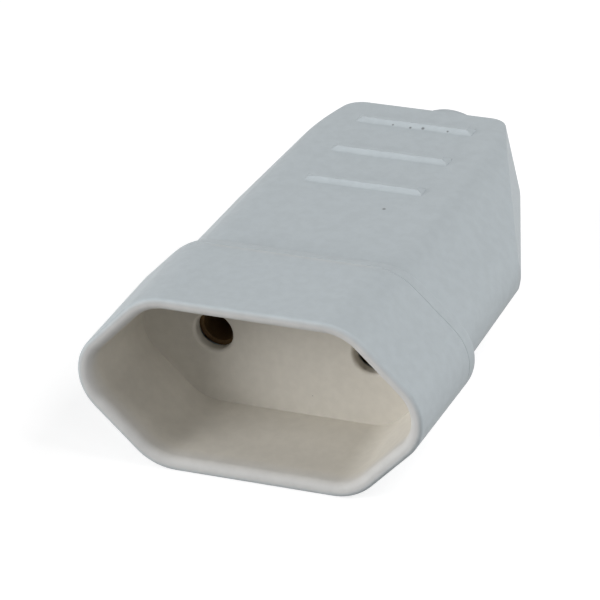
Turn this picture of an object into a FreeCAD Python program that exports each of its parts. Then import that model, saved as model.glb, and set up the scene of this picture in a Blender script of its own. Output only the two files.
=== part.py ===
"""Rewirable in-line power socket for two round pins.

The part's frame: X runs across the two pins, Y runs from the plug towards the cord, Z is up.
The origin is the middle of the recess floor, where the plug's face seats.
All sizes are in millimetres and degrees.
"""
import FreeCAD, Part
import math
import os
import types

import Sketcher

doc = FreeCAD.newDocument("inline_socket")
sheet = doc.addObject("Spreadsheet::Sheet", "sizes")

DRIVING_SIZES = [
    # Plug interface
    ("pin_pitch", "19"),
    ("pin_diameter", "4"),
    ("pin_length", "19"),
    ("contact_clearance", "0.03"),
    ("pin_hole_clearance", "0.25"),
    ("pin_hole_round", "0.4"),
    # Hexagonal collar of the front moulding
    ("collar_height", "21.4"),
    ("flat_margin", "2.52"),
    ("slant_angle", "45"),
    ("collar_nose_radius", "5.8"),
    ("collar_corner_radius", "6.5"),
    ("recess_depth", "12.8"),
    ("recess_draft", "0.5"),
    ("rim_wall", "1.5"),
    ("rim_outer_round", "0.4"),
    ("rim_inner_round", "1"),
    ("floor_thickness", "1.2"),
    ("parting_setback", "1.4"),
    ("collar_side_draft", "0.08"),
    ("shoulder_length", "4.3"),
    ("shoulder_drop", "0.75"),
    ("seam_bevel", "0.08"),
    # Spigot that the hood slides over
    ("spigot_length", "6.8"),
    ("spigot_wall", "1.4"),
    ("spigot_clearance", "0.15"),
    # Rear hood
    ("flange_length", "2"),
    ("flange_round", "0.5"),
    ("hood_drop", "1.9"),
    ("hood_side_drop", "1.15"),
    ("hood_wall", "1.8"),
    ("hood_draft", "0.65"),
    ("hood_nose_radius", "5"),
    ("hood_corner_radius", "4"),
    ("taper_corner_radius", "2.5"),
    ("bay_side_gap", "1.1"),
    ("saddle_side_gap", "2.9"),
    ("taper_lean", "10.3"),
    ("tail_end_gap", "2.4"),
    ("rib_length", "14.4"),
    ("rib_crest", "0.7"),
    ("rib_slope", "0.8"),
    ("rib_height", "0.45"),
    ("rib_end_slope", "1.6"),
    ("rib_pitch", "8.06"),
    ("rib_count", "3"),
    ("rib_rear_gap", "4.3"),
    ("outlet_wall", "2.45"),
    ("outlet_length", "7"),
    ("outlet_round", "0.8"),
    # Cord and its clamp
    ("cord_diameter", "6.6"),
    ("cord_clearance", "0.2"),
    ("saddle_length", "8.6"),
    ("saddle_drop", "1"),
    ("clamp_post_radius", "2.4"),
    ("clamp_bar_width", "6"),
    ("clamp_bar_thickness", "2"),
    ("clamp_tooth", "0.5"),
    # Contacts
    ("sleeve_wall", "0.6"),
    ("sleeve_length", "12"),
    ("sleeve_setback", "0.8"),
    ("slit_width", "0.8"),
    ("strip_width", "3.8"),
    ("strip_thickness", "0.4"),
    ("strip_end_gap", "1"),
    ("spring_wall", "0.45"),
    ("spring_length", "5"),
    ("spring_gap", "2"),
    ("spring_setback", "2"),
    # Terminals
    ("pin_end_gap", "2"),
    ("block_width", "5.2"),
    ("block_length", "8"),
    ("block_floor", "1.3"),
    ("block_roof", "2.2"),
    ("wire_gap", "3.6"),
    ("terminal_head_gap", "0.6"),
    # Carrier behind the floor
    ("carrier_side_wall", "0.8"),
    ("carrier_bevel", "2.2"),
    ("bay_wall", "1.4"),
    ("wire_notch", "3.4"),
    ("fit_clearance", "0.1"),
    # Contact cover
    ("cover_roof", "1"),
    ("cover_bevel", "2"),
    ("cover_end_gap", "0.3"),
    # Screws and nut
    ("machine_diameter", "3"),
    ("tapping_diameter", "2.6"),
    ("head_diameter", "4.6"),
    ("head_height", "1.6"),
    ("head_bevel", "0.35"),
    ("slot_width", "0.7"),
    ("slot_depth", "0.8"),
    ("tapping_depth", "4"),
    ("hole_clearance", "0.2"),
    ("head_sink", "0.25"),
    ("case_boss_wall", "0.9"),
    ("case_boss_gap", "1.5"),
    ("nut_width", "5.5"),
    ("nut_thickness", "1.8"),
    ("nut_seat", "1.8"),
    ("nut_bevel", "0.3"),
    ("screw_tip_gap", "0.6"),
]

for row, (alias, text) in enumerate(DRIVING_SIZES, 1):
    sheet.set(f"A{row}", alias)
    sheet.set(f"B{row}", text)
    sheet.setAlias(f"B{row}", alias)
doc.recompute()


class Size:
    """A size with its number and the sheet formula that gives it."""

    def __init__(self, number, formula):
        self.number = float(number)
        self.formula = formula

    def __add__(self, other):
        other = as_size(other)
        return Size(self.number + other.number, f"({self.formula} + {other.formula})")

    def __radd__(self, other):
        return as_size(other) + self

    def __sub__(self, other):
        other = as_size(other)
        return Size(self.number - other.number, f"({self.formula} - {other.formula})")

    def __rsub__(self, other):
        return as_size(other) - self

    def __mul__(self, other):
        other = as_size(other)
        return Size(self.number * other.number, f"({self.formula} * {other.formula})")

    def __rmul__(self, other):
        return as_size(other) * self

    def __truediv__(self, other):
        other = as_size(other)
        return Size(self.number / other.number, f"({self.formula} / {other.formula})")

    def __neg__(self):
        return Size(-self.number, f"(-{self.formula})")


def as_size(value):
    return value if isinstance(value, Size) else Size(value, f"{value:g}")


def sine(angle):
    return Size(math.sin(math.radians(angle.number)), f"sin({angle.formula})")


def cosine(angle):
    return Size(math.cos(math.radians(angle.number)), f"cos({angle.formula})")


def tangent(angle):
    return Size(math.tan(math.radians(angle.number)), f"tan({angle.formula})")


def root(value):
    return Size(math.sqrt(value.number), f"sqrt({value.formula})")


def smaller(first, second):
    return Size(min(first.number, second.number), f"min({first.formula}; {second.formula})")


dim = types.SimpleNamespace()
for row in DRIVING_SIZES:
    setattr(dim, row[0], Size(sheet.get(row[0]), f"sizes.{row[0]}"))
zero = as_size(0)

# Outline of the collar: flat top and bottom, slanted sides that meet in a nose at axis height
pin_x = dim.pin_pitch / 2
collar_half = dim.collar_height / 2
collar_side = pin_x + dim.flat_margin + collar_half / tangent(dim.slant_angle)
rim_y = -dim.recess_depth

# The front moulding and the hood meet at the parting line; the hood's flange carries on the collar
parting_y = dim.parting_setback
flange_end = parting_y + dim.flange_length
shoulder_y = flange_end - dim.shoulder_length
spigot_end = parting_y + dim.spigot_length

# Outline of the hood behind its flange
hood_half = collar_half - dim.hood_drop
hood_side = collar_side - dim.hood_side_drop / sine(dim.slant_angle)
hood_inner_half = hood_half - dim.hood_wall

# Contact radii and stations along the axis
sleeve_bore = dim.pin_diameter / 2 + dim.contact_clearance
sleeve_radius = sleeve_bore + dim.sleeve_wall
spring_radius = sleeve_radius + dim.spring_wall
pin_hole_radius = dim.pin_diameter / 2 + dim.pin_hole_clearance
sleeve_start = dim.floor_thickness + dim.sleeve_setback
sleeve_end = sleeve_start + dim.sleeve_length
spring_start = sleeve_start + dim.spring_setback
block_start = dim.pin_length + dim.pin_end_gap
block_end = block_start + dim.block_length
bay_end = block_end + dim.bay_wall
tail_end = bay_end + dim.saddle_length
hood_end = tail_end + dim.tail_end_gap + dim.hood_wall
strip_middle = -(sleeve_bore + dim.sleeve_wall / 2)
strip_top = strip_middle + dim.strip_thickness / 2
strip_bottom = strip_middle - dim.strip_thickness / 2

# Carrier levels and widths
carrier_depth = hood_inner_half - dim.spigot_clearance - dim.spigot_wall
carrier_half = pin_x + dim.block_width / 2 + dim.fit_clearance + dim.carrier_side_wall
cord_radius = dim.cord_diameter / 2 + dim.cord_clearance
post_x = cord_radius + dim.clamp_post_radius
saddle_half = post_x + dim.clamp_post_radius
saddle_middle = bay_end + dim.saddle_length / 2

# Screw radii and stations
machine_radius = dim.machine_diameter / 2
tapping_radius = dim.tapping_diameter / 2
head_radius = dim.head_diameter / 2
case_boss_radius = head_radius + dim.hole_clearance + dim.case_boss_wall
case_screw_y = spigot_end + dim.case_boss_gap + case_boss_radius
case_seat = hood_half - dim.head_height - dim.head_sink
clamp_level = hood_inner_half - dim.head_height - dim.head_sink - dim.clamp_bar_thickness
cover_top = spring_radius + dim.fit_clearance + dim.cover_roof
cover_front = dim.floor_thickness + dim.fit_clearance
cover_rear = block_start - dim.cover_end_gap
cover_screw_y = cover_rear - head_radius
block_top = strip_bottom + dim.wire_gap + dim.block_roof

# Side taper of the hood at axis height: beside the terminals and at the rear end
taper_front_half = carrier_half + dim.bay_side_gap + dim.hood_wall
taper_rear_half = saddle_half + dim.saddle_side_gap
taper_slope = (taper_front_half - taper_rear_half) / (hood_end - bay_end)


def make_body(label):
    body = doc.addObject("PartDesign::Body", label)
    body.Label = label
    return body


def make_sketch(body, role, name, offset=None):
    """A sketch on one of the body's own origin planes, moved along the plane's normal."""
    sketch = body.newObject("Sketcher::SketchObject", name)
    planes = [plane for plane in body.Origin.OriginFeatures if plane.Role == role]
    sketch.AttachmentSupport = (planes[0], [""])
    sketch.MapMode = "FlatFace"
    if offset is not None:
        sketch.setExpression("AttachmentOffset.Base.z", offset.formula)
    return sketch


def cross_section(body, name, y):
    """A sketch across the axis, X to the right and Z up; its normal points to -Y."""
    return make_sketch(body, "XZ_Plane", name, -y)


def plan_view(body, name, z):
    """A sketch seen from above, X to the right and Y up."""
    return make_sketch(body, "XY_Plane", name, z)


def side_view(body, name):
    """A sketch in the middle plane, Y to the right and Z up."""
    return make_sketch(body, "YZ_Plane", name)


def hold(sketch, kind, geometry, point, value):
    """Keeps a point's distance from the sketch origin equal to a size."""
    index = sketch.addConstraint(Sketcher.Constraint(kind, -1, 1, geometry, point, value.number))
    sketch.setExpression(f"Constraints[{index}]", value.formula)


def add_arc(sketch, centre, start, end):
    """The shorter arc between two points about a centre; returns the arc's ends in the same order."""
    circle = Part.Circle(centre, FreeCAD.Vector(0, 0, 1), centre.distanceToPoint(start))
    start_angle = math.atan2(start.y - centre.y, start.x - centre.x)
    end_angle = math.atan2(end.y - centre.y, end.x - centre.x)
    turn = (end_angle - start_angle) % (2 * math.pi)
    if turn < math.pi:
        sketch.addGeometry(Part.ArcOfCircle(circle, start_angle, start_angle + turn), False)
        return 1, 2
    sketch.addGeometry(Part.ArcOfCircle(circle, end_angle, end_angle + 2 * math.pi - turn), False)
    return 2, 1


def draw_outline(sketch, corners, centres):
    """Closed outline whose sides are straight, or arcs where a side's number has a centre."""
    corners = [(as_size(x), as_size(y)) for x, y in corners]
    points = [FreeCAD.Vector(x.number, y.number, 0) for x, y in corners]
    first = sketch.GeometryCount
    count = len(corners)
    ends = []
    for index in range(count):
        following = points[(index + 1) % count]
        if index in centres:
            x, y = centres[index]
            ends.append(add_arc(sketch, FreeCAD.Vector(x.number, y.number, 0), points[index], following))
        else:
            sketch.addGeometry(Part.LineSegment(points[index], following), False)
            ends.append((1, 2))
    for index in range(count):
        after = (index + 1) % count
        sketch.addConstraint(Sketcher.Constraint(
            "Coincident", first + index, ends[index][1], first + after, ends[after][0]))
    for index, (x, y) in enumerate(corners):
        hold(sketch, "DistanceX", first + index, ends[index][0], x)
        hold(sketch, "DistanceY", first + index, ends[index][0], y)
    for index, (x, y) in centres.items():
        hold(sketch, "DistanceX", first + index, 3, x)


def draw_polygon(sketch, corners):
    draw_outline(sketch, corners, {})


def draw_rectangle(sketch, left, bottom, right, top):
    draw_polygon(sketch, [(left, bottom), (right, bottom), (right, top), (left, top)])


def draw_circle(sketch, x, y, radius):
    x = as_size(x)
    y = as_size(y)
    circle = Part.Circle(FreeCAD.Vector(x.number, y.number, 0), FreeCAD.Vector(0, 0, 1), radius.number)
    index = sketch.addGeometry(circle, False)
    hold(sketch, "DistanceX", index, 3, x)
    hold(sketch, "DistanceY", index, 3, y)
    constraint = sketch.addConstraint(Sketcher.Constraint("Radius", index, radius.number))
    sketch.setExpression(f"Constraints[{constraint}]", radius.formula)


def draw_hexagon(sketch, half, side):
    """Flat-topped hexagon whose slanted sides all lie at the slant angle."""
    flat = side - half / tangent(dim.slant_angle)
    corners = [(flat, -half), (side, zero), (flat, half), (-flat, half), (-side, zero), (-flat, -half)]
    draw_polygon(sketch, corners)


def draw_shoulder(sketch):
    """Straight collar whose rear rounds in along an arc to the flange's end, above and below the axis."""
    half = collar_half
    drop = dim.shoulder_drop
    radius = (dim.shoulder_length * dim.shoulder_length + drop * drop) / (drop * 2)
    corners = [(rim_y, -half), (shoulder_y, -half), (flange_end, drop - half),
               (flange_end, half - drop), (shoulder_y, half), (rim_y, half)]
    draw_outline(sketch, corners, {1: (shoulder_y, radius - half), 3: (shoulder_y, half - radius)})


def volume(body):
    doc.recompute()
    return 0.0 if body.Shape.isNull() else body.Shape.Volume


def pad(body, sketch, length, reverse=False, symmetric=False):
    """Adds material along the sketch's normal, or against it when reversed."""
    before = volume(body)
    feature = body.newObject("PartDesign::Pad", f"{sketch.Name}_pad")
    feature.Profile = sketch
    feature.Midplane = symmetric
    feature.Reversed = reverse
    feature.setExpression("Length", length.formula)
    if volume(body) <= before:
        raise RuntimeError(f"{feature.Name} adds nothing")
    return feature


def pocket(body, sketch, depth, reverse=False):
    """Removes material against the sketch's normal, or along it when reversed."""
    before = volume(body)
    feature = body.newObject("PartDesign::Pocket", f"{sketch.Name}_pocket")
    feature.Profile = sketch
    feature.Reversed = reverse
    feature.setExpression("Length", depth.formula)
    if volume(body) >= before:
        raise RuntimeError(f"{feature.Name} cuts nothing")
    return feature


def soften(kind, body, name, size, chosen):
    """Fillet or Chamfer on the edges of the body's tip that the test chooses."""
    doc.recompute()
    base = body.Tip
    edges = [f"Edge{number}" for number, edge in enumerate(base.Shape.Edges, 1) if chosen(edge)]
    if not edges:
        raise RuntimeError(f"{name} finds no edge")
    feature = body.newObject(f"PartDesign::{kind}", name)
    feature.Base = (base, edges)
    feature.setExpression("Radius" if kind == "Fillet" else "Size", size.formula)
    doc.recompute()
    return feature


NEAR = 1e-4


def lies_at(edge, axis, level):
    """True where every point of the edge has the given coordinate."""
    box = edge.BoundBox
    low = getattr(box, f"{axis}Min")
    high = getattr(box, f"{axis}Max")
    return abs(low - level.number) < NEAR and abs(high - level.number) < NEAR


def runs_along(edge):
    """True for an edge that runs mainly along the socket's axis."""
    box = edge.BoundBox
    return box.YLength > 2 * max(box.XLength, box.ZLength)


def is_nose(edge):
    """True for an axial edge at axis height."""
    return runs_along(edge) and abs(edge.CenterOfMass.z) < NEAR


def is_corner(edge):
    """True for an axial edge away from axis height."""
    return runs_along(edge) and abs(edge.CenterOfMass.z) > NEAR


def slab(name, angle, draw):
    """A pair of opposite faces with a given side view, turned about the axis from the vertical."""
    body = make_body(name)
    sketch = side_view(body, f"{name}_profile")
    draw(sketch)
    pad(body, sketch, collar_side * 4, symmetric=True)
    turn = as_size(angle)
    axis = FreeCAD.Vector(0, 1 if turn.number >= 0 else -1, 0)
    body.Placement = FreeCAD.Placement(FreeCAD.Vector(), FreeCAD.Rotation(axis, abs(turn.number)))
    if turn.number:
        formula = turn.formula if turn.number > 0 else (-turn).formula
        body.setExpression("Placement.Rotation.Angle", formula)
    return body


def draw_wedge(sketch, front_y, front_half, rear_y, rear_half):
    draw_polygon(sketch, [(front_y, -front_half), (rear_y, -rear_half), (rear_y, rear_half),
                          (front_y, front_half)])


def common(name, shapes):
    feature = doc.addObject("Part::MultiCommon", name)
    feature.Shapes = shapes
    doc.recompute()
    return feature


def body_from(label, base):
    body = make_body(label)
    body.BaseFeature = base
    doc.recompute()
    return body


def cut(name, base, tool):
    feature = doc.addObject("Part::Cut", name)
    feature.Base = base
    feature.Tool = tool
    doc.recompute()
    return feature


def fuse(name, shapes):
    feature = doc.addObject("Part::MultiFuse", name)
    feature.Shapes = shapes
    doc.recompute()
    return feature


def stretch(name, start_y, end_y):
    """A block wider than the socket between two stations along the axis."""
    body = make_body(name)
    section = cross_section(body, f"{name}_section", start_y)
    draw_rectangle(section, -collar_side, -collar_side, collar_side, collar_side)
    pad(body, section, end_y - start_y, reverse=True)
    return body


def outer_edges(body, level):
    """Test for the outer edges of the body's flat faces at a station along the axis."""
    doc.recompute()
    faces = [face for face in body.Tip.Shape.Faces if lies_at(face, "Y", level)]
    edges = [edge for face in faces for edge in face.OuterWire.Edges]
    return lambda edge: any(edge.isSame(other) for other in edges)


def collar_barrel():
    """Outside of the collar and of the hood's flange, from the rim to the flange's end."""
    reach = collar_side * sine(dim.slant_angle)
    wide_reach = reach + dim.collar_side_draft
    faces = [slab("collar_flat", 0, draw_shoulder)]
    for side, angle in (("right", dim.slant_angle), ("left", -dim.slant_angle)):
        faces.append(slab(f"collar_{side}", angle, lambda sketch: draw_wedge(
            sketch, rim_y, reach, flange_end, wide_reach)))
    body = body_from("collar_barrel", common("collar_common", faces))
    soften("Fillet", body, "collar_nose", dim.collar_nose_radius, is_nose)
    soften("Fillet", body, "collar_corner", dim.collar_corner_radius, is_sharp_corner)
    return body


def is_sharp_corner(edge):
    """True for an axial edge at the top or bottom whose two faces meet at an angle."""
    return is_corner(edge) and abs(edge.CenterOfMass.z) > 0.6 * hood_inner_half.number


def recess_core():
    """The space that the plug goes into, narrowing to the floor by the draft."""
    rim_half = collar_half - dim.rim_wall
    rim_reach = collar_side * sine(dim.slant_angle) - dim.rim_wall
    faces = []
    for name, angle, half in (("flat", 0, rim_half), ("right", dim.slant_angle, rim_reach),
                              ("left", -dim.slant_angle, rim_reach)):
        faces.append(slab(f"recess_{name}", angle, lambda sketch, half=half: draw_wedge(
            sketch, rim_y, half, zero, half - dim.recess_draft)))
    body = body_from("recess_core", common("recess_common", faces))
    soften("Fillet", body, "recess_nose", dim.collar_nose_radius - dim.rim_wall, is_nose)
    soften("Fillet", body, "recess_corner", dim.collar_corner_radius - dim.rim_wall, is_sharp_corner)
    return body


def socket_front(barrel):
    collar = common("collar_block", [barrel, stretch("collar_stretch", rim_y, parting_y)])
    body = body_from("socket_front", cut("collar_shell", collar, recess_core()))
    soften("Fillet", body, "rim_outer_edge", smaller(dim.rim_outer_round, dim.rim_wall * 0.27),
           outer_edges(body, rim_y))
    outside = outer_edges(body, rim_y)
    soften("Fillet", body, "rim_inner_edge", smaller(dim.rim_inner_round, dim.rim_wall * 0.67),
           lambda edge: lies_at(edge, "Y", rim_y) and not outside(edge))
    soften("Chamfer", body, "collar_seam", dim.seam_bevel, outer_edges(body, parting_y))

    # Spigot ring behind the parting line
    spigot_half = hood_inner_half - dim.spigot_clearance
    spigot_draft = dim.hood_draft * dim.spigot_length / (hood_end - parting_y)
    spigot_inset = dim.hood_wall + spigot_draft + dim.spigot_clearance
    spigot_side = hood_side - spigot_inset / sine(dim.slant_angle)
    spigot_nose = dim.hood_nose_radius - dim.hood_wall - dim.spigot_clearance
    spigot_corner = dim.hood_corner_radius - dim.hood_wall - dim.spigot_clearance
    ring = cross_section(body, "spigot", parting_y)
    draw_hexagon(ring, spigot_half, spigot_side)
    pad(body, ring, dim.spigot_length, reverse=True)

    def on_spigot(edge):
        return runs_along(edge) and parting_y.number < edge.CenterOfMass.y < spigot_end.number

    soften("Fillet", body, "spigot_nose", spigot_nose, lambda edge: on_spigot(edge) and is_nose(edge))
    soften("Fillet", body, "spigot_corner", spigot_corner,
           lambda edge: on_spigot(edge) and is_sharp_corner(edge))
    hollow = cross_section(body, "spigot_hollow", spigot_end)
    draw_hexagon(hollow, carrier_depth, spigot_side - dim.spigot_wall / sine(dim.slant_angle))
    pocket(body, hollow, spigot_end - dim.floor_thickness, reverse=True)

    # Carrier with the contact channels and terminal bays, and the cord saddle behind it
    carrier = cross_section(body, "carrier", dim.floor_thickness)
    side_level = dim.carrier_bevel - carrier_depth
    foot = carrier_half - dim.carrier_bevel
    draw_polygon(carrier, [(-carrier_half, zero), (-carrier_half, side_level), (-foot, -carrier_depth),
                           (foot, -carrier_depth), (carrier_half, side_level), (carrier_half, zero)])
    pad(body, carrier, bay_end - dim.floor_thickness, reverse=True)
    saddle = cross_section(body, "saddle", bay_end)
    draw_rectangle(saddle, -saddle_half, -carrier_depth, saddle_half, -dim.saddle_drop)
    pad(body, saddle, dim.saddle_length, reverse=True)
    posts = plan_view(body, "clamp_posts", -carrier_depth)
    for side in (-1, 1):
        draw_circle(posts, post_x * side, saddle_middle, dim.clamp_post_radius)
    pad(body, posts, carrier_depth + clamp_level)
    trough = cross_section(body, "cord_trough", bay_end)
    draw_circle(trough, 0, 0, cord_radius)
    pocket(body, trough, dim.saddle_length)
    cut_contact_space(body, "carrier", sleeve_radius, spring_radius + dim.fit_clearance, False)
    bays = plan_view(body, "terminal_bays", zero)
    notches = plan_view(body, "wire_notches", zero)
    bay_half = dim.block_width / 2 + dim.fit_clearance
    notch_half = dim.wire_notch / 2
    for side in (-1, 1):
        middle = pin_x * side
        draw_rectangle(bays, middle - bay_half, block_start, middle + bay_half, block_end)
        draw_rectangle(notches, middle - notch_half, block_end, middle + notch_half, bay_end)
    pocket(body, bays, dim.block_floor - strip_bottom)
    pocket(body, notches, -strip_top)

    # Holes for the pins, the nut and the screws
    holes = cross_section(body, "pin_holes", zero)
    for side in (-1, 1):
        draw_circle(holes, pin_x * side, 0, pin_hole_radius)
    pocket(body, holes, dim.floor_thickness)
    soften("Fillet", body, "pin_hole_mouth", smaller(dim.pin_hole_round, dim.floor_thickness * 0.4),
           is_pin_mouth)
    nut_space = plan_view(body, "nut_space", zero)
    nut_half = dim.nut_width / 2 + dim.fit_clearance
    draw_rectangle(nut_space, -nut_half, case_screw_y - nut_half, nut_half, case_screw_y + nut_half)
    pocket(body, nut_space, carrier_depth - dim.nut_seat)
    case_hole = plan_view(body, "case_hole", zero)
    draw_circle(case_hole, 0, case_screw_y, machine_radius + dim.hole_clearance)
    pocket(body, case_hole, carrier_depth)
    cover_hole = plan_view(body, "cover_hole", zero)
    draw_circle(cover_hole, 0, cover_screw_y, tapping_radius)
    pocket(body, cover_hole, dim.tapping_depth)
    clamp_holes = plan_view(body, "clamp_holes", clamp_level)
    for side in (-1, 1):
        draw_circle(clamp_holes, post_x * side, saddle_middle, tapping_radius)
    pocket(body, clamp_holes, dim.tapping_depth)
    return body


def is_pin_mouth(edge):
    """True for the round edge where a pin hole meets the recess floor."""
    return lies_at(edge, "Y", zero) and abs(edge.BoundBox.XLength - 2 * pin_hole_radius.number) < NEAR


def cut_contact_space(body, name, sleeve_depth, spring_depth, upwards):
    """Channels for the two sleeves, their springs and the pin tips, cut from the parting plane."""
    sleeves = plan_view(body, f"{name}_sleeves", zero)
    springs = plan_view(body, f"{name}_springs", zero)
    tips = plan_view(body, f"{name}_pin_tips", zero)
    sleeve_half = sleeve_radius + dim.fit_clearance
    spring_half = spring_radius + dim.fit_clearance
    spring_front = spring_start - dim.fit_clearance
    spring_back = spring_start + dim.spring_length + dim.fit_clearance
    for side in (-1, 1):
        middle = pin_x * side
        draw_rectangle(sleeves, middle - sleeve_half, dim.floor_thickness, middle + sleeve_half,
                       sleeve_end + dim.fit_clearance)
        draw_rectangle(springs, middle - spring_half, spring_front, middle + spring_half, spring_back)
        draw_rectangle(tips, middle - pin_hole_radius, sleeve_end, middle + pin_hole_radius, block_start)
    pocket(body, sleeves, sleeve_depth, reverse=upwards)
    pocket(body, springs, spring_depth, reverse=upwards)
    pocket(body, tips, sleeve_depth, reverse=upwards)


def hood_form(name, inset):
    """The hood's outline moved in by an inset: a hexagon cut back at the sides towards the cord."""
    half = hood_half - inset
    reach = hood_side * sine(dim.slant_angle) - inset
    lean = cosine(dim.taper_lean)
    slope = taper_slope * lean
    taper_rear = taper_rear_half * lean - inset * root(slope * slope + 1)
    rear_y = hood_end - inset
    taper_end = taper_rear + slope * inset
    taper_start = taper_end + slope * (rear_y - parting_y)
    rear_reach = reach - dim.hood_draft
    faces = [slab(f"{name}_flat", 0, lambda sketch: draw_wedge(sketch, parting_y, half, rear_y, half))]
    for side, angle in (("right", dim.slant_angle), ("left", -dim.slant_angle)):
        faces.append(slab(f"{name}_{side}", angle, lambda sketch: draw_wedge(
            sketch, parting_y, reach, rear_y, rear_reach)))
    body = body_from(f"{name}_hexagon", common(f"{name}_common", faces))
    soften("Fillet", body, f"{name}_nose", dim.hood_nose_radius - inset, is_nose)
    soften("Fillet", body, f"{name}_corner", dim.hood_corner_radius - inset, is_sharp_corner)
    tapers = []
    for side, angle in (("right", 90 - dim.taper_lean), ("left", dim.taper_lean - 90)):
        tapers.append(slab(f"{name}_taper_{side}", angle, lambda sketch: draw_wedge(
            sketch, parting_y, taper_start, rear_y, taper_end)))
    wedge = body_from(f"{name}_wedge", common(f"{name}_taper", tapers))
    soften("Fillet", wedge, f"{name}_taper_nose", dim.hood_nose_radius - inset, is_nose)
    soften("Fillet", wedge, f"{name}_taper_corner", dim.taper_corner_radius - inset,
           lambda edge: lies_at(edge, "Y", rear_y) and edge.BoundBox.ZLength > edge.BoundBox.XLength)
    return common(f"{name}_form", [body, wedge])


def rear_hood(barrel):
    flange = common("flange_block", [barrel, stretch("flange_stretch", parting_y, flange_end)])
    outside = fuse("hood_outside", [hood_form("hood", zero), flange])
    body = body_from("rear_hood", cut("hood_shell", outside, hood_form("cavity", dim.hood_wall)))
    soften("Chamfer", body, "flange_seam", dim.seam_bevel, outer_edges(body, parting_y))
    soften("Fillet", body, "flange_edge", dim.flange_round, outer_edges(body, flange_end))

    # Cord outlet
    outlet = cross_section(body, "outlet", hood_end - dim.hood_wall / 2)
    outlet_radius = cord_radius + dim.outlet_wall
    draw_circle(outlet, 0, 0, outlet_radius)
    pad(body, outlet, dim.outlet_length + dim.hood_wall / 2, reverse=True)
    bore = cross_section(body, "outlet_bore", hood_end - dim.hood_wall)
    draw_circle(bore, 0, 0, cord_radius)
    pocket(body, bore, dim.hood_wall + dim.outlet_length)
    soften("Fillet", body, "outlet_edge", smaller(dim.outlet_round, dim.outlet_wall * 0.4),
           lambda edge: lies_at(edge, "Y", hood_end + dim.outlet_length))

    # Grip ribs above and below
    add_ribs(body)

    # Seat for the case screw, sunk into the underside
    boss = plan_view(body, "case_boss", -hood_half + dim.hood_wall / 2)
    draw_circle(boss, 0, case_screw_y, case_boss_radius)
    pad(body, boss, hood_half - dim.hood_wall / 2 - carrier_depth)
    sink = plan_view(body, "case_sink", -case_seat)
    draw_circle(sink, 0, case_screw_y, head_radius + dim.hole_clearance)
    pocket(body, sink, hood_half - case_seat)
    hole = plan_view(body, "case_clearance", -carrier_depth)
    draw_circle(hole, 0, case_screw_y, machine_radius + dim.hole_clearance)
    pocket(body, hole, case_seat - carrier_depth)
    return body


def draw_rib(sketch, middle, sign):
    """Low rib with hollow flanks, on the top or, with sign -1, below."""
    # The flanks start just under the surface, so that they leave it at an angle
    foot = hood_half - dim.rib_height / 20
    crest = hood_half + dim.rib_height
    rise = crest - foot
    centre = foot + (dim.rib_slope * dim.rib_slope + rise * rise) / (rise * 2)
    root_level = hood_half - dim.hood_wall / 2
    half = dim.rib_crest / 2
    reach = half + dim.rib_slope
    corners = [(middle - reach, root_level), (middle + reach, root_level), (middle + reach, foot),
               (middle + half, crest), (middle - half, crest), (middle - reach, foot)]
    corners = [(y, z * sign) for y, z in corners]
    draw_outline(sketch, corners, {2: (middle + reach, centre * sign), 4: (middle - reach, centre * sign)})


def add_ribs(body):
    """A row of low cross ribs on the top, and the same below."""
    ribs = side_view(body, "ribs")
    for sign in (1, -1):
        draw_rib(ribs, hood_end - dim.rib_rear_gap, sign)
    rib_pad = pad(body, ribs, dim.rib_length, symmetric=True)
    row = body.newObject("PartDesign::LinearPattern", "rib_row")
    row.Originals = [rib_pad]
    row.Direction = (ribs, ["H_Axis"])
    row.Reversed = True
    row.setExpression("Length", (dim.rib_pitch * (dim.rib_count - 1)).formula)
    row.setExpression("Occurrences", dim.rib_count.formula)
    body.Tip = row

    # The ends slope down to the surface
    reach = dim.rib_crest / 2 + dim.rib_slope * 2
    length = dim.rib_pitch * (dim.rib_count - 1) + reach * 2
    ends = cross_section(body, "rib_ends", hood_end - dim.rib_rear_gap + reach - length)
    low = hood_half + dim.rib_height / 10
    high = hood_half + dim.rib_height * 2
    outer = dim.rib_length / 2
    for side in (-1, 1):
        for sign in (-1, 1):
            corners = [(outer, low), (outer + dim.rib_end_slope, low), (outer + dim.rib_end_slope, high),
                       (outer - dim.rib_end_slope, high)]
            draw_polygon(ends, [(x * side, z * sign) for x, z in corners])
    pocket(body, ends, length)


def place(body, x=None, y=None, z=None):
    for axis, value in (("x", x), ("y", y), ("z", z)):
        if value is not None:
            body.setExpression(f"Placement.Base.{axis}", value.formula)
    doc.recompute()
    return body


def contact(label, x):
    """Slit sleeve that grips the pin, with a flat strip back to the terminal."""
    body = make_body(label)
    tube = cross_section(body, f"{label}_tube", sleeve_start)
    draw_circle(tube, 0, 0, sleeve_radius)
    draw_circle(tube, 0, 0, sleeve_bore)
    pad(body, tube, dim.sleeve_length, reverse=True)
    strip = cross_section(body, f"{label}_strip", sleeve_end - dim.sleeve_wall)
    draw_rectangle(strip, -dim.strip_width / 2, strip_bottom, dim.strip_width / 2, strip_top)
    pad(body, strip, block_end - dim.strip_end_gap - sleeve_end + dim.sleeve_wall, reverse=True)
    slit = plan_view(body, f"{label}_slit", sleeve_radius)
    draw_rectangle(slit, -dim.slit_width / 2, sleeve_start, dim.slit_width / 2, sleeve_end)
    pocket(body, slit, sleeve_radius)
    return place(body, x=x)


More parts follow.
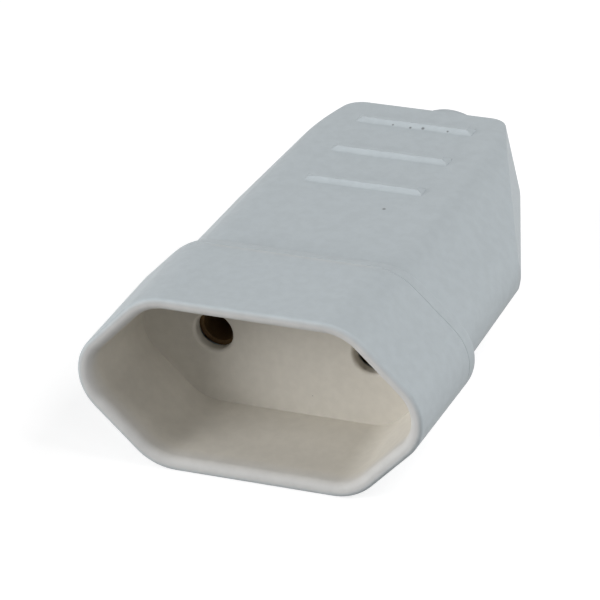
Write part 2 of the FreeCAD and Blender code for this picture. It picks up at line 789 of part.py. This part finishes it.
def contact_spring(label, x):
    """Open steel ring that keeps the sleeve closed on the pin."""
    body = make_body(label)
    ring = cross_section(body, f"{label}_ring", spring_start)
    draw_circle(ring, 0, 0, spring_radius)
    draw_circle(ring, 0, 0, sleeve_radius)
    pad(body, ring, dim.spring_length, reverse=True)
    gap = plan_view(body, f"{label}_opening", spring_radius)
    gap_half = dim.spring_gap / 2
    draw_rectangle(gap, -gap_half, spring_start, gap_half, spring_start + dim.spring_length)
    pocket(body, gap, spring_radius)
    return place(body, x=x)


def terminal_block(label, x):
    """Brass block that clamps the wire on the contact's strip."""
    body = make_body(label)
    bottom = strip_bottom - dim.block_floor
    outline = plan_view(body, f"{label}_outline", bottom)
    draw_rectangle(outline, -dim.block_width / 2, block_start, dim.block_width / 2, block_end)
    pad(body, outline, block_top - bottom)
    way = cross_section(body, f"{label}_way", block_start)
    way_half = dim.strip_width / 2 + dim.fit_clearance
    draw_rectangle(way, -way_half, strip_bottom, way_half, strip_bottom + dim.wire_gap)
    pocket(body, way, dim.block_length)
    thread = plan_view(body, f"{label}_thread", block_top)
    draw_circle(thread, 0, (block_start + block_end) / 2, machine_radius)
    pocket(body, thread, dim.block_roof)
    return place(body, x=x)


def screw(label, radius, length, x, y, z):
    """Slotted screw with a bevelled head; the head's seat is at its own origin, shank down."""
    body = make_body(label)
    shank = plan_view(body, f"{label}_shank", -length)
    draw_circle(shank, 0, 0, radius)
    pad(body, shank, length + dim.head_height / 2)
    head = plan_view(body, f"{label}_head", zero)
    draw_circle(head, 0, 0, head_radius)
    pad(body, head, dim.head_height)
    soften("Chamfer", body, f"{label}_head_edge", smaller(dim.head_bevel, dim.head_height * 0.4),
           lambda edge: lies_at(edge, "Z", dim.head_height))
    soften("Chamfer", body, f"{label}_tip", radius / 4, lambda edge: lies_at(edge, "Z", -length))
    slot = plan_view(body, f"{label}_slot", dim.head_height)
    draw_rectangle(slot, -head_radius * 1.2, -dim.slot_width / 2, head_radius * 1.2, dim.slot_width / 2)
    pocket(body, slot, dim.slot_depth)
    return place(body, x, y, z)


def contact_cover():
    """Insulating cover that holds the contacts down in the carrier."""
    body = make_body("contact_cover")
    section = cross_section(body, "cover_section", cover_front)
    top_half = carrier_half - dim.cover_bevel
    side_level = cover_top - dim.cover_bevel
    draw_polygon(section, [(-carrier_half, zero), (carrier_half, zero), (carrier_half, side_level),
                           (top_half, cover_top), (-top_half, cover_top), (-carrier_half, side_level)])
    pad(body, section, cover_rear - cover_front, reverse=True)
    sleeve_depth = sleeve_radius + dim.fit_clearance
    spring_depth = spring_radius + dim.fit_clearance
    cut_contact_space(body, "cover", sleeve_depth, spring_depth, True)
    relief = plan_view(body, "cover_nut_relief", zero)
    nut_half = dim.nut_width / 2
    draw_rectangle(relief, -nut_half, case_screw_y - nut_half, nut_half, case_screw_y + nut_half)
    pocket(body, relief, dim.nut_thickness, reverse=True)
    hole = plan_view(body, "cover_screw_hole", cover_top)
    draw_circle(hole, 0, cover_screw_y, tapping_radius + dim.hole_clearance)
    pocket(body, hole, cover_top)
    return body


def cord_clamp_bar():
    """Bar across the cord, with two teeth that bite into its sheath."""
    body = make_body("cord_clamp_bar")
    outline = plan_view(body, "bar_outline", clamp_level)
    bar_half = dim.clamp_bar_width / 2
    draw_rectangle(outline, -saddle_half, saddle_middle - bar_half, saddle_half, saddle_middle + bar_half)
    pad(body, outline, dim.clamp_bar_thickness)
    corner_radius = smaller(dim.clamp_post_radius, bar_half) * 0.8
    soften("Fillet", body, "bar_corners", corner_radius,
           lambda edge: edge.BoundBox.ZLength > max(edge.BoundBox.XLength, edge.BoundBox.YLength))
    teeth = side_view(body, "bar_teeth")
    for step in (-1, 1):
        middle = saddle_middle + bar_half * step / 2
        point = (middle, clamp_level - dim.clamp_tooth)
        draw_polygon(teeth, [(middle - dim.clamp_tooth, clamp_level), point,
                             (middle + dim.clamp_tooth, clamp_level)])
    pad(body, teeth, cord_radius, symmetric=True)
    holes = plan_view(body, "bar_holes", clamp_level + dim.clamp_bar_thickness)
    for side in (-1, 1):
        draw_circle(holes, post_x * side, saddle_middle, tapping_radius + dim.hole_clearance)
    pocket(body, holes, dim.clamp_bar_thickness)
    return body


def case_nut():
    """Square nut held in the carrier, under the contact cover."""
    body = make_body("case_nut")
    level = dim.nut_seat - carrier_depth
    half = dim.nut_width / 2
    outline = plan_view(body, "nut_outline", level)
    draw_rectangle(outline, -half, case_screw_y - half, half, case_screw_y + half)
    pad(body, outline, dim.nut_thickness)
    soften("Chamfer", body, "nut_corners", dim.nut_bevel,
           lambda edge: edge.BoundBox.ZLength > max(edge.BoundBox.XLength, edge.BoundBox.YLength))
    thread = plan_view(body, "nut_thread", level + dim.nut_thickness)
    draw_circle(thread, 0, case_screw_y, machine_radius)
    pocket(body, thread, dim.nut_thickness)
    return body


def case_screw():
    """Screw from the underside that holds the hood to the carrier's nut."""
    tip_level = dim.nut_seat - carrier_depth + dim.nut_thickness + dim.screw_tip_gap
    body = screw("case_screw", machine_radius, case_seat + tip_level, zero, case_screw_y, -case_seat)
    body.Placement = FreeCAD.Placement(body.Placement.Base, FreeCAD.Rotation(FreeCAD.Vector(1, 0, 0), 180))
    doc.recompute()
    return body


def build():
    barrel = collar_barrel()
    parts = [socket_front(barrel), rear_hood(barrel)]
    parts += [contact_cover(), cord_clamp_bar(), case_nut(), case_screw()]
    clamp_seat = clamp_level + dim.clamp_bar_thickness
    clamp_length = dim.clamp_bar_thickness + dim.tapping_depth - dim.screw_tip_gap
    cover_length = cover_top + dim.tapping_depth - dim.screw_tip_gap
    terminal_seat = block_top + dim.terminal_head_gap
    terminal_y = (block_start + block_end) / 2
    parts.append(screw("cover_screw", tapping_radius, cover_length, zero, cover_screw_y, cover_top))
    for side, sign in (("left", -1), ("right", 1)):
        x = pin_x * sign
        parts.append(contact(f"contact_{side}", x))
        parts.append(contact_spring(f"contact_spring_{side}", x))
        parts.append(terminal_block(f"terminal_block_{side}", x))
        parts.append(screw(f"terminal_screw_{side}", machine_radius, terminal_seat - strip_top, x,
                           terminal_y, terminal_seat))
        parts.append(screw(f"clamp_screw_{side}", tapping_radius, clamp_length, post_x * sign,
                           saddle_middle, clamp_seat))
    return parts


def check(parts):
    """Stops before anything is written if a feature failed or a piece is not one sound solid."""
    doc.recompute()
    for item in doc.Objects:
        if "Invalid" in item.State or "Error" in item.State:
            raise RuntimeError(f"{item.Label} failed: {item.State}")
    for body in parts:
        shape = body.Shape
        if shape.isNull() or not shape.isValid() or len(shape.Solids) != 1:
            raise RuntimeError(f"{body.Label} is not one sound solid")


pieces = build()
check(pieces)
os.makedirs("parts", exist_ok=True)
for piece in pieces:
    piece.Shape.exportStep(f"parts/{piece.Label}.step")
    print(piece.Label, round(piece.Shape.Volume, 2), "mm3")
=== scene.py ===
import math

import bpy
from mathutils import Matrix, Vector


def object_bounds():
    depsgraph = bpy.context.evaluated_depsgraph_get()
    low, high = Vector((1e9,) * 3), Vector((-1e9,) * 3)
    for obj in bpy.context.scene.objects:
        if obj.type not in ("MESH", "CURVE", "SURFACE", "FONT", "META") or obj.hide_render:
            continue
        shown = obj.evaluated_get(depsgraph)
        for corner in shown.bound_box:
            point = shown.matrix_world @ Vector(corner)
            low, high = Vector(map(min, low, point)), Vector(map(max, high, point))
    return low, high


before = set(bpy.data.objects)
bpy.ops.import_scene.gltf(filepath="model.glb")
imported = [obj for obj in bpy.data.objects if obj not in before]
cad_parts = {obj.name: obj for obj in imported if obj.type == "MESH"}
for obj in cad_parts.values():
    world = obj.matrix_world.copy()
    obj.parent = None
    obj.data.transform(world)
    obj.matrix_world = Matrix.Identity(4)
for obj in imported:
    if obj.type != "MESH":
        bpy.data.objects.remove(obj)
cad_low, cad_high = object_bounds()

bl_info = {
    "name": "In-line power socket",
    "version": (1, 0, 0),
    "blender": (4, 5, 0),
    "location": "3D View > Sidebar > Socket",
    "description": "Finishes for the pieces of an in-line power socket, and a plain studio stage",
    "category": "Material",
}

MILLIMETRE = 0.001
WHITE = (1.0, 1.0, 1.0, 1.0)

# Pieces by what they are made of
INNER_MOULDINGS = ("contact_cover", "cord_clamp_bar")
CONTACTS = ("contact_left", "contact_right")
TERMINALS = ("terminal_block_left", "terminal_block_right")
SPRINGS = ("contact_spring_left", "contact_spring_right")
FASTENERS = ("case_screw", "case_nut", "cover_screw", "terminal_screw_left", "terminal_screw_right",
             "clamp_screw_left", "clamp_screw_right")

# Dark specks of dirt: place in millimetres in the part's frame, and radius
FRONT_SPECKS = (
    ((2.1, 0.0, -6.2), 0.06),
)
HOOD_SPECKS = (
    ((-2.60, 38.16, 8.87), 0.12),
    ((-0.38, 38.06, 8.82), 0.16),
    ((1.15, 38.18, 8.88), 0.20),
    ((4.23, 38.20, 8.90), 0.13),
    ((4.37, 17.66, 8.80), 0.21),
)
# A speck is full up to the first share of its radius and gone at the second
SPECK_FADE = (0.5, 1.3)
SPECK_STRENGTH = 0.75

# Turn from the collar's flat top to its slanted sides
SLANT_ANGLE = math.radians(45.0)
# Shares of the rim's wall, from the inside, between which the painted light of the rim and recess ends
RIM_LIGHT_FADE = (0.6, 0.95)
# Behind the recess's floor the painted light of the recess ends within this many millimetres
FLOOR_LIGHT_FADE = 0.2
# Blender's Smooth Maximum of two equal values lies above them by its distance divided by this
SMOOTH_MAXIMUM_DIVISOR = 6.0

# Share that each finer layer of the noise keeps of the one before
NOISE_ROUGHNESS = 0.55
# Most of the noise lies in the first span, and the clouds and the tarnish use narrower ones
NOISE_SPAN = (0.3, 0.7)
CLOUD_SPAN = (0.35, 0.65)
TARNISH_SPAN = (0.45, 0.75)

# Plastic: levels of its colour in the clouds, roughness from the grain's hollows to its crests, gloss
CLOUD_LEVELS = (0.975, 1.025)
PLASTIC_ROUGHNESS = (0.46, 0.58)
PLASTIC_IOR = 1.46
PLASTIC_SPECULAR = 0.25

# Metal: drawn streaks along the socket's axis, patches of tarnish, spread of the roughness
STREAK_SIZE = 0.12 * MILLIMETRE
STREAK_DEPTH = 0.002 * MILLIMETRE
STREAK_STRETCH = (1.0, 0.08, 1.0)
TARNISH_SIZE = 2.5 * MILLIMETRE
METAL_ROUGHNESS_SPREAD = 0.08

# Sockets of the Mix node that take and give colours, by their number
MIX_FACTOR = 0
MIX_FIRST = 6
MIX_SECOND = 7
MIX_RESULT = 2

# Camera: width of its sensor in millimetres, nearest and furthest distance that it sees in metres
SENSOR_WIDTH = 36.0
NEAREST_SEEN = 0.01
FURTHEST_SEEN = 20.0

# Lamps: place and side in metres
LEFT_LAMP = ((-0.52, -0.43, 0.24), 0.45)
RIGHT_LAMP = ((0.50, 0.10, 0.50), 0.50)
NEAR_LAMP = ((0.50, -0.40, 0.35), 0.35)
REAR_LAMP = ((-0.25, 0.68, 0.10), 0.50)

# Floor: side, gap below the socket, colour, and distances between which its glow rises to white
FLOOR_SIDE = 6.0
FLOOR_GAP = 0.02 * MILLIMETRE
FLOOR_COLOUR = (0.4, 0.4, 0.4, 1.0)
GLOW_RISE = (0.10, 0.40)


class SocketFinish(bpy.types.PropertyGroup):
    """Colours and surface of the socket's pieces."""

    plastic_colour: bpy.props.FloatVectorProperty(
        name="Plastic", description="Colour of the two outer mouldings", subtype="COLOR",
        default=(0.457, 0.501, 0.524), min=0.0, max=1.0)
    # Painted light: a paler, warmer colour painted deep in the recess for the warm light that bounces inside
    # it
    recess_light_colour: bpy.props.FloatVectorProperty(
        name="Recess", description="Warmer colour deep in the recess", subtype="COLOR",
        default=(0.618, 0.590, 0.532), min=0.0, max=1.0)
    # Painted light: a paler colour painted on the collar's rim for the light that falls on it
    rim_light_colour: bpy.props.FloatVectorProperty(
        name="Rim", description="Paler colour of the collar's rim", subtype="COLOR",
        default=(0.565, 0.563, 0.553), min=0.0, max=1.0)
    speck_colour: bpy.props.FloatVectorProperty(
        name="Specks", description="Colour of the specks of dirt", subtype="COLOR",
        default=(0.10, 0.10, 0.10), min=0.0, max=1.0)
    inner_colour: bpy.props.FloatVectorProperty(
        name="Inner mouldings", description="Colour of the cover and the clamp bar", subtype="COLOR",
        default=(0.50, 0.49, 0.44), min=0.0, max=1.0)
    brass_colour: bpy.props.FloatVectorProperty(
        name="Brass", description="Colour of the terminals", subtype="COLOR",
        default=(0.66, 0.47, 0.20), min=0.0, max=1.0)
    # Partly painted shade: the contacts' tarnish is darkened further to stand in for the shade inside the
    # pin holes
    tarnish_and_shade_colour: bpy.props.FloatVectorProperty(
        name="Tarnish", description="Colour of the contacts, browned by use", subtype="COLOR",
        default=(0.17, 0.105, 0.05), min=0.0, max=1.0)
    steel_colour: bpy.props.FloatVectorProperty(
        name="Steel", description="Colour of the springs, screws and nut", subtype="COLOR",
        default=(0.60, 0.61, 0.62), min=0.0, max=1.0)
    grain_size: bpy.props.FloatProperty(
        name="Grain size", description="Size of the moulded surface's fine grain", unit="LENGTH",
        default=0.25 * MILLIMETRE, min=0.01 * MILLIMETRE)
    grain_depth: bpy.props.FloatProperty(
        name="Grain depth", description="Depth of the moulded surface's fine grain", unit="LENGTH",
        default=0.006 * MILLIMETRE, min=0.0)
    mottle_size: bpy.props.FloatProperty(
        name="Mottle size", description="Size of the faint clouds in the plastic's colour", unit="LENGTH",
        default=1.2 * MILLIMETRE, min=0.1 * MILLIMETRE)
    rim_wall: bpy.props.FloatProperty(
        name="Rim wall", description="Thickness of the collar's rim", unit="LENGTH",
        default=1.5 * MILLIMETRE, min=0.1 * MILLIMETRE)
    nose_centre: bpy.props.FloatProperty(
        name="Nose centre", description="Distance from the axis to the middle of the nose's rounding",
        unit="LENGTH", default=14.52 * MILLIMETRE, min=1.0 * MILLIMETRE)
    nose_radius: bpy.props.FloatProperty(
        name="Nose radius", description="Radius of the collar's rounded noses", unit="LENGTH",
        default=5.8 * MILLIMETRE, min=0.1 * MILLIMETRE)
    corner_radius: bpy.props.FloatProperty(
        name="Corner radius", description="Radius of the collar's rounded corners above and below",
        unit="LENGTH", default=6.5 * MILLIMETRE, min=0.1 * MILLIMETRE)
    # Depth over which the rim's painted light turns into the recess's painted light
    rim_light_depth: bpy.props.FloatProperty(
        name="Rim depth", description="Depth over which the rim's colour turns into the recess's",
        unit="LENGTH", default=2.5 * MILLIMETRE, min=0.1 * MILLIMETRE)
    floor_thickness: bpy.props.FloatProperty(
        name="Floor thickness", description="Thickness of the recess's floor", unit="LENGTH",
        default=1.2 * MILLIMETRE, min=0.1 * MILLIMETRE)


class SocketStage(bpy.types.PropertyGroup):
    """Camera, lamps and floor."""

    camera_place: bpy.props.FloatVectorProperty(
        name="Camera place", description="Where the camera stands", subtype="TRANSLATION", unit="LENGTH",
        default=(0.17201, -0.38034, 0.22633))
    camera_turn: bpy.props.FloatVectorProperty(
        name="Camera turn", description="How the camera is turned", subtype="EULER", unit="ROTATION",
        default=(1.083361, 0.053704, 0.393502))
    camera_lens: bpy.props.FloatProperty(
        name="Lens", description="Focal length of the camera", unit="CAMERA", default=257.7, min=1.0)
    sky_strength: bpy.props.FloatProperty(
        name="Sky", description="Strength of the even light from all round", default=0.02, min=0.0)
    left_power: bpy.props.FloatProperty(
        name="Left lamp", description="Power of the low soft lamp in front, to the left", unit="POWER",
        default=4.85, min=0.0)
    right_power: bpy.props.FloatProperty(
        name="Right lamp", description="Power of the high soft lamp at the right", unit="POWER",
        default=3.75, min=0.0)
    near_power: bpy.props.FloatProperty(
        name="Near lamp", description="Power of the weak lamp beside the camera", unit="POWER",
        default=1.0, min=0.0)
    rear_power: bpy.props.FloatProperty(
        name="Rear lamp", description="Power of the low soft lamp behind, to the left", unit="POWER",
        default=1.0, min=0.0)
    floor_glow: bpy.props.FloatProperty(
        name="Floor glow", description="White seen on the floor near the socket, besides its lit colour",
        default=0.75, min=0.0, max=1.0)


def add_node(tree, kind, inputs=None, **settings):
    """A node with its settings, and each input either linked to a socket or given a value."""
    node = tree.nodes.new(kind)
    for name, value in settings.items():
        setattr(node, name, value)
    for name, value in (inputs or {}).items():
        if isinstance(value, bpy.types.NodeSocket):
            tree.links.new(value, node.inputs[name])
        else:
            node.inputs[name].default_value = value
    return node


def math_node(tree, operation, first, second=0.0):
    """The result of one operation on two values, each a number or a socket."""
    node = add_node(tree, "ShaderNodeMath", {0: first, 1: second}, operation=operation)
    return node.outputs[0]


def ramp(tree, value, low, high, to_low=0.0, to_high=1.0):
    """A value taken from one span to another, held at its ends."""
    node = add_node(tree, "ShaderNodeMapRange", {
        "Value": value, "From Min": low, "From Max": high, "To Min": to_low, "To Max": to_high})
    return node.outputs["Result"]


def mix_colour(tree, factor, first, second, blend="MIX"):
    """Two colours blended by a factor, each given as four numbers or as a socket."""
    inputs = {MIX_FACTOR: factor, MIX_FIRST: first, MIX_SECOND: second}
    node = add_node(tree, "ShaderNodeMix", inputs, data_type="RGBA", blend_type=blend)
    return node.outputs[MIX_RESULT]


def opaque(colour, level=1.0):
    """A property's colour at a level, with full alpha."""
    return tuple(channel * level for channel in colour) + (1.0,)


def start_material(name):
    """A material with a shader joined to its output, and the piece's own coordinates in millimetres."""
    material = bpy.data.materials.new(name)
    material.use_nodes = True
    tree = material.node_tree
    tree.nodes.clear()
    output = add_node(tree, "ShaderNodeOutputMaterial")
    shader = add_node(tree, "ShaderNodeBsdfPrincipled")
    tree.links.new(shader.outputs["BSDF"], output.inputs["Surface"])
    coordinates = add_node(tree, "ShaderNodeTexCoord")
    scaled = add_node(tree, "ShaderNodeVectorMath", {
        0: coordinates.outputs["Object"], "Scale": 1.0 / MILLIMETRE}, operation="SCALE")
    return material, tree, shader, scaled.outputs["Vector"]


def noise(tree, place, size, detail=2.0):
    """Cloud noise whose grains have a size in metres."""
    node = add_node(tree, "ShaderNodeTexNoise", {
        "Vector": place, "Scale": MILLIMETRE / size, "Detail": detail, "Roughness": NOISE_ROUGHNESS})
    return node.outputs["Fac"]


def add_grain(tree, shader, place, finish):
    """Fine moulded grain, as relief and as a little change of gloss."""
    grain = noise(tree, place, finish.grain_size, detail=3.0)
    relief = add_node(tree, "ShaderNodeBump", {"Height": grain, "Distance": finish.grain_depth})
    tree.links.new(relief.outputs["Normal"], shader.inputs["Normal"])
    tree.links.new(ramp(tree, grain, *NOISE_SPAN, *PLASTIC_ROUGHNESS), shader.inputs["Roughness"])


def rim_and_recess_light_mask(tree, place, finish):
    """Where light is painted: one on the rim and in the recess but none outside, and the depth from the rim,
    from none to one.
    """
    parts = add_node(tree, "ShaderNodeSeparateXYZ", {"Vector": place})
    across = math_node(tree, "ABSOLUTE", parts.outputs["X"])
    height = math_node(tree, "ABSOLUTE", parts.outputs["Z"])
    wall = finish.rim_wall / MILLIMETRE
    flat = math_node(tree, "SUBTRACT", height, cad_high.z / MILLIMETRE - wall)
    across = math_node(tree, "SUBTRACT", across, finish.nose_centre / MILLIMETRE)
    share = math.cos(SLANT_ANGLE)
    outward = math_node(tree, "MULTIPLY", math_node(tree, "ADD", across, height), share)
    outward = math_node(tree, "MAXIMUM", outward, 0.0)
    beside = math_node(tree, "MULTIPLY", math_node(tree, "SUBTRACT", across, height), share)
    beside = math_node(tree, "MAXIMUM", beside, 0.0)
    slant = math_node(tree, "ADD", math_node(tree, "MULTIPLY", outward, outward),
                      math_node(tree, "MULTIPLY", beside, beside))
    inner_radius = finish.nose_radius / MILLIMETRE - wall
    slant = math_node(tree, "SUBTRACT", math_node(tree, "SQRT", slant), inner_radius)
    corner_lift = (1.0 - math.cos(SLANT_ANGLE / 2)) * finish.corner_radius / MILLIMETRE
    rounding = SMOOTH_MAXIMUM_DIVISOR * corner_lift
    furthest = add_node(tree, "ShaderNodeMath", {0: flat, 1: slant, 2: rounding}, operation="SMOOTH_MAX")
    fade_start, fade_end = RIM_LIGHT_FADE
    within = ramp(tree, furthest.outputs[0], fade_start * wall, fade_end * wall, 1.0, 0.0)
    rim = cad_low.y / MILLIMETRE
    depth = ramp(tree, parts.outputs["Y"], rim, rim + finish.rim_light_depth / MILLIMETRE)
    floor_back = finish.floor_thickness / MILLIMETRE
    front = ramp(tree, parts.outputs["Y"], floor_back, floor_back + FLOOR_LIGHT_FADE, 1.0, 0.0)
    return math_node(tree, "MULTIPLY", within, front), depth


def speck_mask(tree, place, specks):
    """The strength of the dirt on each speck, with a soft edge."""
    full, gone = SPECK_FADE
    total = None
    for centre, radius in specks:
        apart = add_node(tree, "ShaderNodeVectorMath", {0: place, 1: centre}, operation="DISTANCE")
        spot = ramp(tree, apart.outputs["Value"], full * radius, gone * radius, SPECK_STRENGTH, 0.0)
        total = spot if total is None else math_node(tree, "MAXIMUM", total, spot)
    return total


def moulded_plastic(name, colour, finish, specks=(), paints_recess_light=False):
    """Satin moulded plastic with faint clouds, grain and specks of dirt, and painted light on the rim and in
    the recess where asked.
    """
    material, tree, shader, place = start_material(name)
    shade = opaque(colour)
    if paints_recess_light:
        # Painted light: the rim paler, and the recess paler and warmer, than the outside
        inside, depth = rim_and_recess_light_mask(tree, place, finish)
        painted_rim_recess_light = mix_colour(tree, depth, opaque(finish.rim_light_colour), opaque(finish.recess_light_colour))
        shade = mix_colour(tree, inside, shade, painted_rim_recess_light)
    clouds = ramp(tree, noise(tree, place, finish.mottle_size), *CLOUD_SPAN, *CLOUD_LEVELS)
    shade = mix_colour(tree, 1.0, shade, clouds, "MULTIPLY")
    if specks:
        shade = mix_colour(tree, speck_mask(tree, place, specks), shade, opaque(finish.speck_colour))
    tree.links.new(shade, shader.inputs["Base Color"])
    shader.inputs["IOR"].default_value = PLASTIC_IOR
    shader.inputs["Specular IOR Level"].default_value = PLASTIC_SPECULAR
    add_grain(tree, shader, place, finish)
    return material


def bare_metal(name, colour, dull_level, roughness):
    """Bare metal with drawn streaks, dulled in patches by tarnish."""
    material, tree, shader, place = start_material(name)
    stretched = add_node(tree, "ShaderNodeMapping", {"Vector": place, "Scale": STREAK_STRETCH})
    streaks = noise(tree, stretched.outputs["Vector"], STREAK_SIZE, detail=3.0)
    tarnish = ramp(tree, noise(tree, place, TARNISH_SIZE, detail=4.0), *TARNISH_SPAN)
    shade = mix_colour(tree, tarnish, opaque(colour), opaque(colour, dull_level))
    tree.links.new(shade, shader.inputs["Base Color"])
    shader.inputs["Metallic"].default_value = 1.0
    gloss = ramp(tree, streaks, *NOISE_SPAN, roughness - METAL_ROUGHNESS_SPREAD,
                 roughness + METAL_ROUGHNESS_SPREAD)
    tree.links.new(gloss, shader.inputs["Roughness"])
    relief = add_node(tree, "ShaderNodeBump", {"Height": streaks, "Distance": STREAK_DEPTH})
    tree.links.new(relief.outputs["Normal"], shader.inputs["Normal"])
    return material


def dress(names, material):
    """Gives CAD nodes a material in place of their plain one."""
    for name in names:
        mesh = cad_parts[name].data
        mesh.materials.clear()
        mesh.materials.append(material)


class SOCKET_OT_mouldings(bpy.types.Operator):
    """Satin plastic of the socket front and the rear hood"""

    bl_idname = "socket.mouldings"
    bl_label = "Finish the mouldings"

    def execute(self, context):
        finish = context.scene.socket_finish
        colour = finish.plastic_colour
        # The socket front gets painted light on its rim and in its recess
        dress(["socket_front"], moulded_plastic("front_plastic", colour, finish, FRONT_SPECKS, True))
        dress(["rear_hood"], moulded_plastic("hood_plastic", colour, finish, HOOD_SPECKS))
        return {"FINISHED"}


class SOCKET_OT_inner_mouldings(bpy.types.Operator):
    """Plain plastic of the contact cover and the clamp bar"""

    bl_idname = "socket.inner_mouldings"
    bl_label = "Finish the inner mouldings"

    def execute(self, context):
        finish = context.scene.socket_finish
        dress(INNER_MOULDINGS, moulded_plastic("inner_plastic", finish.inner_colour, finish))
        return {"FINISHED"}


class SOCKET_OT_metal(bpy.types.Operator):
    """Brass contacts and terminals, steel springs, screws and nut"""

    bl_idname = "socket.metal"
    bl_label = "Finish the metal"

    def execute(self, context):
        finish = context.scene.socket_finish
        steel = finish.steel_colour
        # The contacts' colour is tarnish, darkened further as painted shade in the pin holes
        dress(CONTACTS, bare_metal("tarnished_and_shaded_brass", finish.tarnish_and_shade_colour, dull_level=0.6, roughness=0.75))
        dress(TERMINALS, bare_metal("brass", finish.brass_colour, dull_level=0.7, roughness=0.30))
        dress(SPRINGS, bare_metal("spring_steel", steel, dull_level=0.75, roughness=0.28))
        dress(FASTENERS, bare_metal("plated_steel", steel, dull_level=0.85, roughness=0.34))
        return {"FINISHED"}


def add_lamp(name, power, place, size):
    """A square soft lamp that looks at the middle of the socket."""
    aim = (cad_low + cad_high) / 2
    data = bpy.data.lights.new(name, "AREA")
    data.energy = power
    data.size = size
    lamp = bpy.data.objects.new(name, data)
    lamp.location = place
    lamp.rotation_euler = (aim - Vector(place)).to_track_quat("-Z", "Y").to_euler()
    bpy.context.scene.collection.objects.link(lamp)
    return lamp


def seen_directly(tree):
    """One for rays that show the background: straight from the camera, by reflection or through glass."""
    path = add_node(tree, "ShaderNodeLightPath")
    total = math_node(tree, "ADD", path.outputs["Is Camera Ray"], path.outputs["Is Glossy Ray"])
    total = math_node(tree, "ADD", total, path.outputs["Is Transmission Ray"])
    return math_node(tree, "MINIMUM", total, 1.0)


class SOCKET_OT_stage(bpy.types.Operator):
    """Pale floor, soft lamps, even sky and the camera"""

    bl_idname = "socket.stage"
    bl_label = "Build the stage"

    def execute(self, context):
        stage = context.scene.socket_stage
        self.add_floor(stage)
        self.add_sky(context.scene, stage)
        add_lamp("left_lamp", stage.left_power, *LEFT_LAMP)
        add_lamp("right_lamp", stage.right_power, *RIGHT_LAMP)
        add_lamp("near_lamp", stage.near_power, *NEAR_LAMP)
        rear = add_lamp("rear_lamp", stage.rear_power, *REAR_LAMP)
        rear.visible_glossy = False
        self.add_camera(context.scene, stage)
        context.scene.view_settings.view_transform = "Standard"
        return {"FINISHED"}

    def add_floor(self, stage):
        bpy.ops.mesh.primitive_plane_add(size=FLOOR_SIDE, location=(0.0, 0.0, cad_low.z - FLOOR_GAP))
        floor = bpy.context.object
        floor.name = "floor"
        material = bpy.data.materials.new("white_floor")
        material.use_nodes = True
        tree = material.node_tree
        tree.nodes.clear()
        output = add_node(tree, "ShaderNodeOutputMaterial")
        lit = add_node(tree, "ShaderNodeBsdfDiffuse", {"Color": FLOOR_COLOUR})
        coordinates = add_node(tree, "ShaderNodeTexCoord")
        away = add_node(tree, "ShaderNodeVectorMath", {0: coordinates.outputs["Object"]}, operation="LENGTH")
        level = ramp(tree, away.outputs["Value"], *GLOW_RISE, stage.floor_glow, 1.0)
        strength = math_node(tree, "MULTIPLY", seen_directly(tree), level)
        glow = add_node(tree, "ShaderNodeEmission", {"Strength": strength})
        both = add_node(tree, "ShaderNodeAddShader", {0: lit.outputs["BSDF"], 1: glow.outputs["Emission"]})
        tree.links.new(both.outputs["Shader"], output.inputs["Surface"])
        floor.data.materials.append(material)

    def add_sky(self, scene, stage):
        world = bpy.data.worlds.new("even_sky")
        world.use_nodes = True
        tree = world.node_tree
        tree.nodes.clear()
        output = add_node(tree, "ShaderNodeOutputWorld")
        even = add_node(tree, "ShaderNodeBackground", {"Color": WHITE, "Strength": stage.sky_strength})
        white = add_node(tree, "ShaderNodeBackground", {"Color": WHITE, "Strength": 1.0})
        either = add_node(tree, "ShaderNodeMixShader", {
            0: seen_directly(tree), 1: even.outputs["Background"], 2: white.outputs["Background"]})
        tree.links.new(either.outputs["Shader"], output.inputs["Surface"])
        scene.world = world

    def add_camera(self, scene, stage):
        data = bpy.data.cameras.new("camera")
        data.lens = stage.camera_lens
        data.sensor_width = SENSOR_WIDTH
        data.clip_start = NEAREST_SEEN
        data.clip_end = FURTHEST_SEEN
        camera = bpy.data.objects.new("camera", data)
        camera.location = stage.camera_place
        camera.rotation_euler = stage.camera_turn
        scene.collection.objects.link(camera)
        scene.camera = camera


class SOCKET_PT_panel(bpy.types.Panel):
    """Lists the socket's finishes and its stage"""

    bl_idname = "SOCKET_PT_panel"
    bl_label = "In-line power socket"
    bl_space_type = "VIEW_3D"
    bl_region_type = "UI"
    bl_category = "Socket"

    def draw(self, context):
        for settings in (context.scene.socket_finish, context.scene.socket_stage):
            box = self.layout.box()
            for name in settings.bl_rna.properties.keys():
                if name not in ("rna_type", "name"):
                    box.prop(settings, name)
        for operator in OPERATORS:
            self.layout.operator(operator.bl_idname)


OPERATORS = (SOCKET_OT_mouldings, SOCKET_OT_inner_mouldings, SOCKET_OT_metal, SOCKET_OT_stage)
CLASSES = (SocketFinish, SocketStage) + OPERATORS + (SOCKET_PT_panel,)


def register():
    for cls in CLASSES:
        bpy.utils.register_class(cls)
    bpy.types.Scene.socket_finish = bpy.props.PointerProperty(type=SocketFinish)
    bpy.types.Scene.socket_stage = bpy.props.PointerProperty(type=SocketStage)


def unregister():
    del bpy.types.Scene.socket_stage
    del bpy.types.Scene.socket_finish
    for cls in reversed(CLASSES):
        bpy.utils.unregister_class(cls)


def main():
    register()
    bpy.ops.socket.mouldings()
    bpy.ops.socket.inner_mouldings()
    bpy.ops.socket.metal()
    bpy.ops.socket.stage()


if __name__ == "__main__":
    main()
